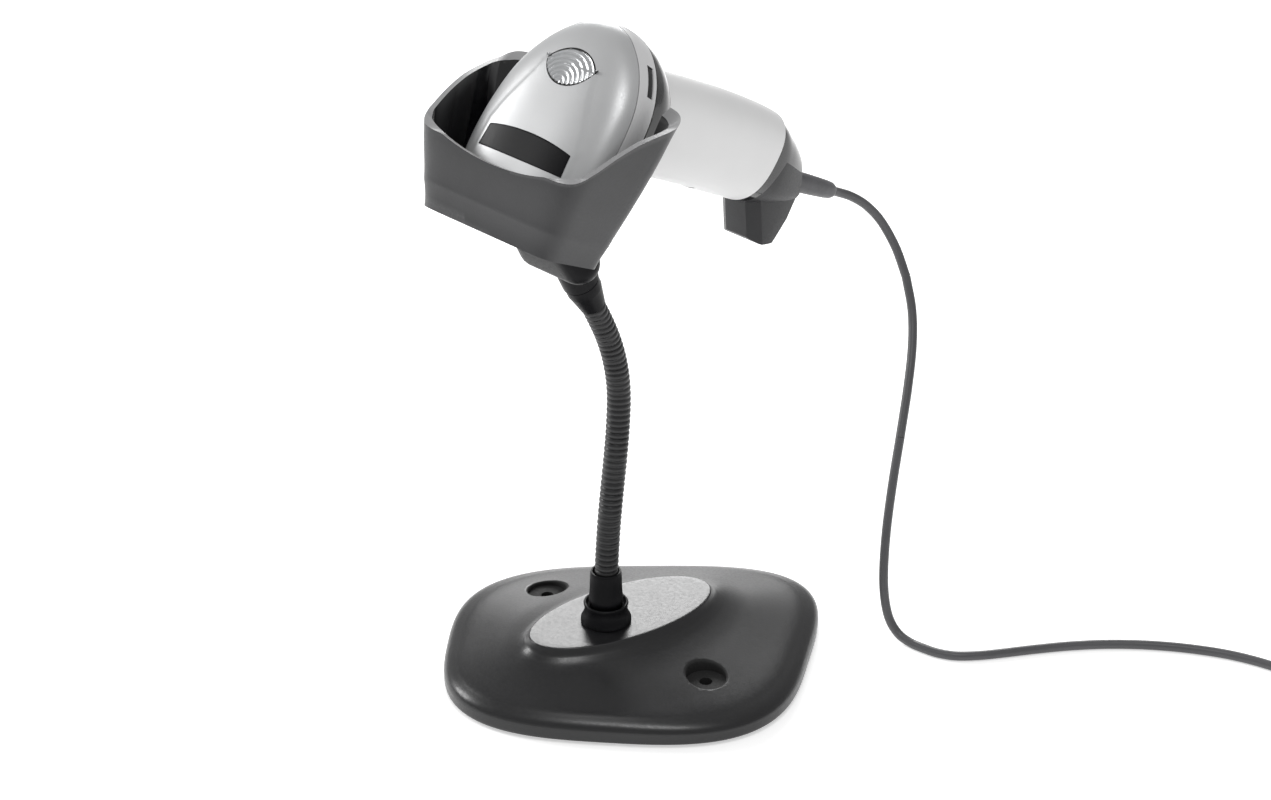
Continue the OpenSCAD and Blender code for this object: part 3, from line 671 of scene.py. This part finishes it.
def build_cup():
    bm = bmesh.new()
    count = WALL_COLUMNS + BACK_COLUMNS

    def closed_row(z, inset):
        wall, back = cup_ring(z, inset)
        return [bm.verts.new(p) for p in wall + back]

    def join(low, high, mat, last):
        for i in range(last):
            j = (i + 1) % len(low)
            bm.faces.new((low[i], low[j], high[j], high[i])).material_index = mat

    def lip_row(z):
        ring = resample([(x, y + LIP_MID, z) for x, y in oval(LIP_X, LIP_Y, LIP_N, 4 * count)], count, True)
        corner = Vector(cup_ring(0, 0)[0][0])
        start = min(range(count), key=lambda i: abs(math.atan2(ring[i].y, ring[i].x)
                                                    - math.atan2(corner.y, corner.x)))
        return [bm.verts.new(ring[(start - i) % count]) for i in range(count)]

    outer = [closed_row(z, 0) for z in (0, 2.7, 5.4, NOTCH_Z)]
    inner = [closed_row(z, CUP_WALL) for z in (CUP_FLOOR, 4.3, 6.1, NOTCH_Z)]
    lip_top, lip_under = lip_row(CUP_FLOOR), lip_row(0)
    for low, high in zip(outer, outer[1:]):
        join(low, high, 0, count)
    for low, high in zip(inner, inner[1:]):
        join(low, high, 1, count)
    join(lip_under, outer[0], 0, count)
    join(lip_top, inner[0], 1, count)
    join(lip_under, lip_top, 1, count)
    sides = []
    for inset, start in ((0, outer[-1]), (CUP_WALL, inner[-1])):
        columns = cup_columns(inset)
        rows = [start[:WALL_COLUMNS]]
        rows += [[bm.verts.new(c[k]) for c in columns] for k in range(1, WALL_ROWS + 1)]
        for low, high in zip(rows, rows[1:]):
            join(low, high, 1 if inset else 0, WALL_COLUMNS - 1)
        sides.append(rows)
    # The rim's top faces take the pale painted highlight material
    join(sides[0][-1], sides[1][-1], 2, WALL_COLUMNS - 1)
    for end in (0, WALL_COLUMNS - 1):
        for k in range(WALL_ROWS):
            face = (sides[0][k][end], sides[0][k + 1][end], sides[1][k + 1][end], sides[1][k][end])
            bm.faces.new(face).material_index = 1
    edge_out, edge_in = (row[WALL_COLUMNS - 1:] + row[:1] for row in (outer[-1], inner[-1]))
    for i in range(len(edge_out) - 1):
        face = (edge_out[i], edge_out[i + 1], edge_in[i + 1], edge_in[i])
        bm.faces.new(face).material_index = 1
    bmesh.ops.recalc_face_normals(bm, faces=bm.faces)
    obj = make("cup_skin", bm, CUP, ["cup", "cup_inner", "rim_highlight"], 45)
    round_edges(obj, 0.8, 3, 50)
    place_piece(obj, "cup", "cup_plastic", "cup_shell")


BOSS_X, BOSS_Y, BOSS_Z, BOSS_R, BOSS_STEPS = 11.0, 31.0, -3.0, 8.5, 12
PAD_Y, PAD_Z, PAD_HALF_X, PAD_HALF_Z = (17.6, 18.2), 3.5, 15, 7.5
SOCKET = [(5.2, 14.6), (7.2, 14.6), (7.6, 15.0), (7.6, 26.6), (7.2, 27), (5.2, 27), (5.2, 14.6)]
SOCKET_BORE = [(0, 14), (5.2, 14), (5.2, 24), (0, 24)]


def build_bracket():
    """A boss behind the cup, as a skin stretched over two balls and a flat pad, with a socket."""
    bm = bmesh.new()
    for side in (-1, 1):
        for i in range(BOSS_STEPS + 1):
            lat = math.pi * (i / BOSS_STEPS - 0.5)
            for x, y in circle(0, 0, BOSS_R * math.cos(lat), 40) if 0 < i < BOSS_STEPS else [(0, 0)]:
                bm.verts.new((side * BOSS_X + x, BOSS_Y + y, BOSS_Z + BOSS_R * math.sin(lat)))
    for x, z in oval(PAD_HALF_X, PAD_HALF_Z, 6, 48):
        for y in PAD_Y:
            bm.verts.new((x, y, z + PAD_Z))
    out = bmesh.ops.convex_hull(bm, input=bm.verts[:])
    spare = {g for key in ("geom_interior", "geom_unused") for g in out[key]}
    bmesh.ops.delete(bm, geom=[g for g in spare if isinstance(g, bmesh.types.BMVert) and not g.link_faces],
                     context="VERTS")
    bmesh.ops.recalc_face_normals(bm, faces=bm.faces)
    obj = make("bracket_skin", bm, CUP, ["black"], 50)
    socket = make("bracket_socket", lathe(SOCKET), NECK_END, ["black"], 35)
    place_piece(socket, "cup", "black_plastic", "cup_bracket")
    combine(obj, [make("tool", lathe(SOCKET_BORE), NECK_END, ["black"])])
    place_piece(obj, "cup", "black_plastic", "cup_bracket")


# ------------------------------------------------------------------ head
HEAD_SECTIONS = [
    (0, 28.5, -14, 9, 3.6, .287), (6, 30.4, -15.6, 9.6, 3.6, .27), (14, 32.8, -16.8, 10.6, 3.5, .22),
    (24, 35, -17.5, 13, 3.5, .15), (34, 36, -17.8, 16, 3.5, .09), (44, 36, -17.9, 18.6, 3.4, .04),
    (54, 35.2, -17.7, 20.4, 3.2, 0), (62, 33.3, -17.3, 21.2, 3, 0), (69, 30.2, -16.6, 21, 2.8, 0),
    (75, 26.2, -15.6, 19.6, 2.6, 0), (80, 21.4, -14.2, 17, 2.4, 0), (84, 16, -12, 13, 2.3, 0),
    (87, 9, -8.6, 7.6, 2.1, 0), (88, 3.4, -4, 2, 2, 0)]
COVER_Y, BAND_Y, SEAM = -9.1, -0.45, 0.14
HEAD_WALL = 2.0
HEAD_COUNT, HEAD_STEPS = 176, 110
EYE_Z, EYE_W, EYE_H = 63.0, 26.0, 16.0
# How far the centres of the eye's two arcs lie from its middle
EYE_TOP, EYE_LOW = EYE_W * 0.3, EYE_W * 0.22
LABEL_Z, LABEL_HALF, LABEL_TOP, LABEL_LOW, LABEL_CURVE = 28.5, 22.5, 5.2, -6.2, 0.0045
PANEL_RAISE, PANEL_EDGE, PANEL_TOP = 0.35, 0.9, 64.5
PANEL = [(10, 25.4), (30, 25.2), (36, 24.2), (62, 14.6), (64, 14.0)]
SLOT_Y, SLOT_Z = (-5.4, -2.2), (65.4, 76.8)


def panel_half(z):
    return row_at(PANEL, z)[1]


def head_solid(inset=0.0, raised=False):
    """The head's outer shape, open at the nose, with the low raised panel on its face."""
    rings = loft(HEAD_SECTIONS, HEAD_COUNT, HEAD_STEPS, inset)
    bm = bmesh.new()
    add_rings(bm, rings, cap_end=True)
    if raised:
        for v in bm.verts:
            if v.co.y < COVER_Y:
                inside = ease((panel_half(v.co.z) - abs(v.co.x)) / PANEL_EDGE)
                v.co.y -= PANEL_RAISE * inside * ease((PANEL_TOP - v.co.z) / PANEL_EDGE)
    bm.normal_update()
    return bm


def eye_edges(x, grow=0.0):
    """The top and bottom heights of the eye's outline at x."""
    top_r, low_r = EYE_H / 2 + EYE_TOP + grow, EYE_H / 2 + EYE_LOW + grow
    return (math.sqrt(max(top_r ** 2 - x * x, 0)) - EYE_TOP,
            EYE_LOW - math.sqrt(max(low_r ** 2 - x * x, 0)))


def eye_outline(grow, count=40):
    reach = EYE_W / 2
    while eye_edges(reach, grow)[0] > eye_edges(reach, grow)[1]:
        reach += 0.02
    xs = [-reach * math.cos(math.pi * k / count) for k in range(count + 1)]
    return reach, [(x, EYE_Z + eye_edges(x, grow)[1]) for x in xs] + \
        [(x, EYE_Z + eye_edges(x, grow)[0]) for x in reversed(xs[1:-1])]


def face_patch(name, tree, outline_rows, lift, looks, wall, border=0):
    """A thin piece that follows the head's face; lift gives its height over the face at a point."""
    bm = bmesh.new()
    rows = []
    for row in outline_rows:
        line = []
        for x, z in row:
            face_y = tree.ray_cast(Vector((x, -60, z)), Vector((0, 1, 0)))[0].y
            line.append(bm.verts.new((x, face_y - lift(x, z), z)))
        rows.append(line)
    for k, (low, high) in enumerate(zip(rows, rows[1:])):
        for i in range(len(low) - 1):
            face = bm.faces.new((low[i], low[i + 1], high[i + 1], high[i]))
            at_edge = min(i, len(low) - 2 - i, k, len(rows) - 2 - k) < border
            face.material_index = 1 if at_edge else 0
    bmesh.ops.remove_doubles(bm, verts=bm.verts, dist=1e-3)
    bm.normal_update()
    obj = thicken(make(name, bm, HEAD, looks, 50), wall)
    obj.modifiers["wall"].use_even_offset = False
    return obj


def build_label(tree):
    rows = []
    for k in range(13):
        row = []
        for i in range(49):
            x = LABEL_HALF * (i / 24 - 1)
            top = LABEL_TOP - LABEL_CURVE * x * x
            row.append((x * (1.02 - 0.03 * k / 12), LABEL_Z + LABEL_LOW + (top - LABEL_LOW) * k / 12))
        rows.append(row)
    obj = face_patch("label_skin", tree, rows, lambda x, z: 0.2, ["label"], 0.6)
    place_piece(round_edges(obj, 0.12, 2, 60), "scanner", "gloss_black", "label_plate")


EYE_GAP, EYE_STEPS, EYE_ROWS = 0.25, 96, 64
RIDGE_PITCH, RIDGE_HEIGHT, RIDGE_FROM = 2.1, 0.55, Vector((-1.0, -7.4))


def build_eye(tree):
    reach, _ = eye_outline(-EYE_GAP)
    rows = []
    for k in range(EYE_ROWS + 1):
        rows.append([])
        for i in range(EYE_STEPS + 1):
            x = -reach * math.cos(math.pi * i / EYE_STEPS) * 0.995
            top, low = eye_edges(x, -EYE_GAP)
            rows[-1].append((x, EYE_Z + low + (top - low) * k / EYE_ROWS))

    def lift(x, z):
        far = (Vector((x, z - EYE_Z)) - RIDGE_FROM).length
        ridge = abs(math.sin(math.pi * far / RIDGE_PITCH)) ** 0.7
        return RIDGE_HEIGHT * (ridge - 0.7) * ease(far / 2.0)

    obj = face_patch("eye_skin", tree, rows, lift, ["lens", "gloss"], 1.4, 2)
    place_piece(obj, "scanner", "clear_lens", "indicator_lens")


def build_head():
    whole = head_solid(raised=True)
    tree = BVHTree.FromBMesh(whole)
    cover = whole.copy()
    keep_slab(cover, 1, high=COVER_Y - SEAM)
    obj = thicken(make("cover_skin", cover, HEAD, ["silver"], 50), HEAD_WALL)
    combine(obj, [prism(eye_outline(0.12)[1], -30, -8, HEAD, "Y")])
    place_piece(round_edges(obj, 0.5, 3, 50), "scanner", "silver_plastic", "head_cover")
    ring = whole.copy()
    keep_slab(ring, 1, COVER_Y + SEAM, BAND_Y - SEAM)
    obj = thicken(make("ring_skin", ring, HEAD, ["pale"], 50), HEAD_WALL)
    window = [(y, z) for y, z in ((SLOT_Y[0], SLOT_Z[0]), (SLOT_Y[1], SLOT_Z[0]),
                                  (SLOT_Y[1], SLOT_Z[1]), (SLOT_Y[0], SLOT_Z[1]))]
    combine(obj, [prism(window, 15, 60, HEAD), prism(window, -60, -15, HEAD)])
    place_piece(round_edges(obj, 0.42, 3, 50), "scanner", "pale_plastic", "head_ring")
    rear = whole.copy()
    keep_slab(rear, 1, BAND_Y + SEAM)
    obj = thicken(make("rear_skin", rear, HEAD, ["gloss"], 50), HEAD_WALL)
    place_piece(round_edges(obj, 0.4, 3, 50), "scanner", "gloss_black", "head_rear_shell")
    insert = head_solid(0.55)
    keep_slab(insert, 1, SLOT_Y[0] + 0.25, SLOT_Y[1] - 0.25)
    keep_slab(insert, 2, SLOT_Z[0] + 0.25, SLOT_Z[1] - 0.25)
    obj = thicken(make("slot_skin", insert, HEAD, ["gloss"], 50), 1.4)
    place_piece(round_edges(obj, 0.3, 2, 50), "scanner", "gloss_black", "side_inserts")
    build_label(tree)
    build_eye(tree)
    whole.free()


# ------------------------------------------------------------------ handle
GRIP_SECTIONS = [
    (-26, 18.2, -21.5, 24, 2.4, 0), (-14, 17.6, -21.4, 22, 2.4, 0), (0, 17, -21.2, 21.2, 2.5, 0),
    (18, 17, -21.2, 21, 2.5, 0), (36, 17, -21, 21, 2.5, 0), (52, 17, -20.2, 21.2, 2.5, 0),
    (66, 16.8, -18.8, 21.2, 2.5, 0), (80, 16.4, -16, 20.6, 2.5, 0)]
END_Z, END_SLOPE, HALF_GAP = 64.5, math.radians(12), 0.06
TRIGGER_HALF, TRIGGER_Z = 8.0, (1.0, 33.0)
TRIGGER_SIDE = [(11.6, 2.6), (19, 1.6), (26, 1.4), (26, 31.4), (19.2, 31.4), (16.6, 29.4), (16.6, 11),
                (11.6, 9.4)]
TRIGGER_WIDE, TRIGGER_SINK = 15.0, 0.25
SCREW_WELLS, WELL_Y, WELL_R = (10, 50), -12, 2.6


def end_block(over):
    """Everything past the handle's sloping end, as a block to cut with."""
    bm = bmesh.new()
    add_rings(bm, [[(-40, -50, z), (40, -50, z), (40, 50, z), (-40, 50, z)] for z in (0, 80)], True, True)
    bmesh.ops.recalc_face_normals(bm, faces=bm.faces)
    tilt = Matrix.Translation((0, 0, (END_Z + over) * MM)) @ Matrix.Rotation(-END_SLOPE, 4, "X")
    return make("tool", bm, GRIP @ tilt, ["white"])


def trigger_opening():
    ring = [(x, z + sum(TRIGGER_Z) / 2) for x, z in
            oval(TRIGGER_HALF, (TRIGGER_Z[1] - TRIGGER_Z[0]) / 2, 9, 96)]
    return prism(ring, 8, 40, GRIP, "Y")


def build_handle():
    for side, name, node in ((1, "handle_skin_right", "handle_right"),
                             (-1, "handle_skin_left", "handle_left")):
        bm = bmesh.new()
        add_rings(bm, loft(GRIP_SECTIONS, 120, 70))
        bm.normal_update()
        keep_slab(bm, 0, HALF_GAP, None) if side > 0 else keep_slab(bm, 0, None, -HALF_GAP)
        obj = thicken(make(name, bm, GRIP, ["white"], 50), HEAD_WALL)
        bake(obj)
        head = head_solid(-0.15)
        bmesh.ops.holes_fill(head, edges=[e for e in head.edges if e.is_boundary])
        bmesh.ops.recalc_face_normals(head, faces=head.faces)
        tools = [end_block(0), trigger_opening(), make("tool", head, HEAD, ["white"])]
        if side < 0:
            tools += [prism(circle(WELL_Y, z, WELL_R, 40), -40, -13.4, GRIP) for z in SCREW_WELLS]
        combine(obj, tools)
        place_piece(round_edges(obj, 0.35, 3, 50), "scanner", "pale_plastic", node)


def build_trigger():
    """A lever whose outer face carries on the handle's own curve."""
    half = TRIGGER_WIDE / 2
    obj = prism(TRIGGER_SIDE, -half, half, GRIP)
    obj.name = "trigger_skin"
    obj.data.materials[0] = MATS["white"]
    curve = make("tool", solid(loft(GRIP_SECTIONS, 120, 70, TRIGGER_SINK)), GRIP, ["white"])
    combine(obj, [curve], "INTERSECT")
    place_piece(round_edges(obj, 0.5, 3, 35), "trigger", "pale_plastic", "trigger")


CAP_BACK = [(-20, 60), (-16.5, 66), (-12.5, 77), (-7.5, 83.5), (2, 89.5), (11.5, 95)]
HEEL_FRONT = [(22.6, 93), (33.8, 87.4), (35.6, 80), (34, 73), (22, 62), (21, 54)]
HEEL_LINE = [(60, 50), (22, 63.4), (8, 67.6), (-0.5, 71.5), (2, 86), (4, 110), (60, 110)]
CAP_SECTIONS = [(40, 17, -21, 21.2, 2.5, 0), (66, 16.8, -17.9, 21.2, 2.5, 0), (76, 15.6, -13.5, 20.6, 2.6, 0),
                (86, 12.8, -7.5, 19, 2.8, 0), (95, 9.6, 0, 16, 3, 0)]
HEEL_SECTIONS = [(55, 5.8, 8, 38, 12, .6), (59.5, 11, 6, 38, 12, .6), (84, 11, 3, 38, 9, 0),
                 (95, 8.4, 2, 36, 9, 0)]
LIMIT_SECTIONS = [(48, 17, -22, 40, 5, 0), (70, 17, -22, 40, 5, 0), (82, 15, -22, 40, 4.4, 0),
                  (90, 12.4, -22, 40, 4, 0), (95, 10.2, -22, 40, 4, 0)]


def butt_part(name, look, keep_heel):
    """The handle's end: two lofts together, cut to the side outline, then split along the heel line."""
    limit = make("tool", solid(loft(LIMIT_SECTIONS, 96, 24)), GRIP, [look])
    heel = make("tool", solid([section(row, 96) for row in HEEL_SECTIONS]), GRIP, [look])
    obj = make(name, solid(loft(CAP_SECTIONS, 96, 24)), GRIP, [look])
    combine(obj, [heel], "UNION")
    back = [tuple(p) for p in smooth_line([(*p, 0) for p in CAP_BACK], 1.2)]
    outline = [(p[0], p[1]) for p in back] + HEEL_FRONT
    combine(obj, [prism(outline, -30, 30, GRIP), limit, end_block(0.12)], "INTERSECT")
    combine(obj, [prism(HEEL_LINE, -30, 30, GRIP)], "INTERSECT" if keep_heel else "DIFFERENCE")
    return obj


def build_butt():
    cap = butt_part("cap_skin", "gloss", False)
    place_piece(round_edges(cap, 0.3, 3, 40), "scanner", "gloss_black", "butt_cap")
    heel = butt_part("heel_skin", "charcoal", True)
    place_piece(round_edges(heel, 0.45, 3, 30), "scanner", "heel_plastic", "butt_heel")


RELIEF = [(0, 83.5), (4, 83.5), (4, 96.2), (4.3, 96.8), (4.4, 97.4), (4.4, 102), (4.3, 109), (4.1, 116),
          (3.85, 122), (3.6, 125), (3.1, 126.4), (2.4, 127), (0, 127)]


def build_relief():
    place = GRIP @ Matrix.Translation((0, 7.5 * MM, 0))
    obj = make("relief_skin", lathe(RELIEF, 64), place, ["relief"], 35)
    place_piece(obj, "scanner", "cord_skin", "strain_relief")


# ------------------------------------------------------------------ carried-over nodes
ROUNDED = {"usb_body": 0.9, "usb_shell": 0.12, "coil_tie": 0.25, "nose_bezel": 0.15,
           "rubber_pad": 0.3, "base_plate": 0.3, "cable_plug": 0.4, "base_screws": 0.15}


def dress_cad():
    """Every node that still shows gets its slot's finish (the ballast plate gets painted shade instead), and
    small rounds where it is touched.
    """
    for part in frame["record"]["subparts"]:
        obj = frame["nodes"][part["node"]]
        # The ballast plate takes black: painted shade at the bottom of the screw holes
        look = MATS[HOLE_SHADE_LOOK.get(part["node"], SLOT_LOOK[part["material_slot"]])]
        for entry in obj.material_slots:
            entry.material = look
        if part["node"] in ROUNDED:
            round_edges(obj, ROUNDED[part["node"]], 3, 40)


for build in (build_base, build_collars, build_neck, build_cup, build_bracket, build_head,
              build_handle, build_trigger, build_butt, build_relief, dress_cad):
    build()


# ------------------------------------------------------------------ studio
FLOOR_HALF, FLOOR_GLOW = 4.0, 0.5
SKY = 0.4
AIM = Vector((0, 0.02, 0.15))
# Name, place in metres, size in metres, power in watts
LIGHTS = [("back_light", (-1.15, 1.15, 0.85), 0.9, 17), ("left_light", (-1.5, -0.7, 0.9), 0.7, 14),
          ("top_light", (0.5, -0.5, 1.9), 0.7, 9)]


def add_floor():
    mesh = bpy.data.meshes.new("floor")
    corners = [(x * FLOOR_HALF, y * FLOOR_HALF, 0) for x, y in ((-1, -1), (1, -1), (1, 1), (-1, 1))]
    mesh.from_pydata(corners, [], [(0, 1, 2, 3)])
    floor = bpy.data.objects.new("floor", mesh)
    bpy.context.scene.collection.objects.link(floor)
    mesh.materials.append(material("floor_white", (0.9, 0.9, 0.9), 0.8, 200, 0.02, vary=0.005,
                                   glow=FLOOR_GLOW))


def add_light(name, place, size, power):
    data = bpy.data.lights.new(name, "AREA")
    data.shape, data.size, data.energy = "DISK", size, power
    lamp = bpy.data.objects.new(name, data)
    lamp.location = place
    lamp.rotation_euler = (AIM - Vector(place)).to_track_quat("-Z", "Y").to_euler()
    bpy.context.scene.collection.objects.link(lamp)


def build_studio():
    add_floor()
    scene = bpy.context.scene
    scene.view_settings.view_transform = "Standard"
    world = bpy.data.worlds.new("studio")
    world.use_nodes = True
    sky = world.node_tree.nodes["Background"]
    sky.inputs["Color"].default_value = (1, 1, 1, 1)
    sky.inputs["Strength"].default_value = SKY
    scene.world = world
    for light in LIGHTS:
        add_light(*light)


build_studio()
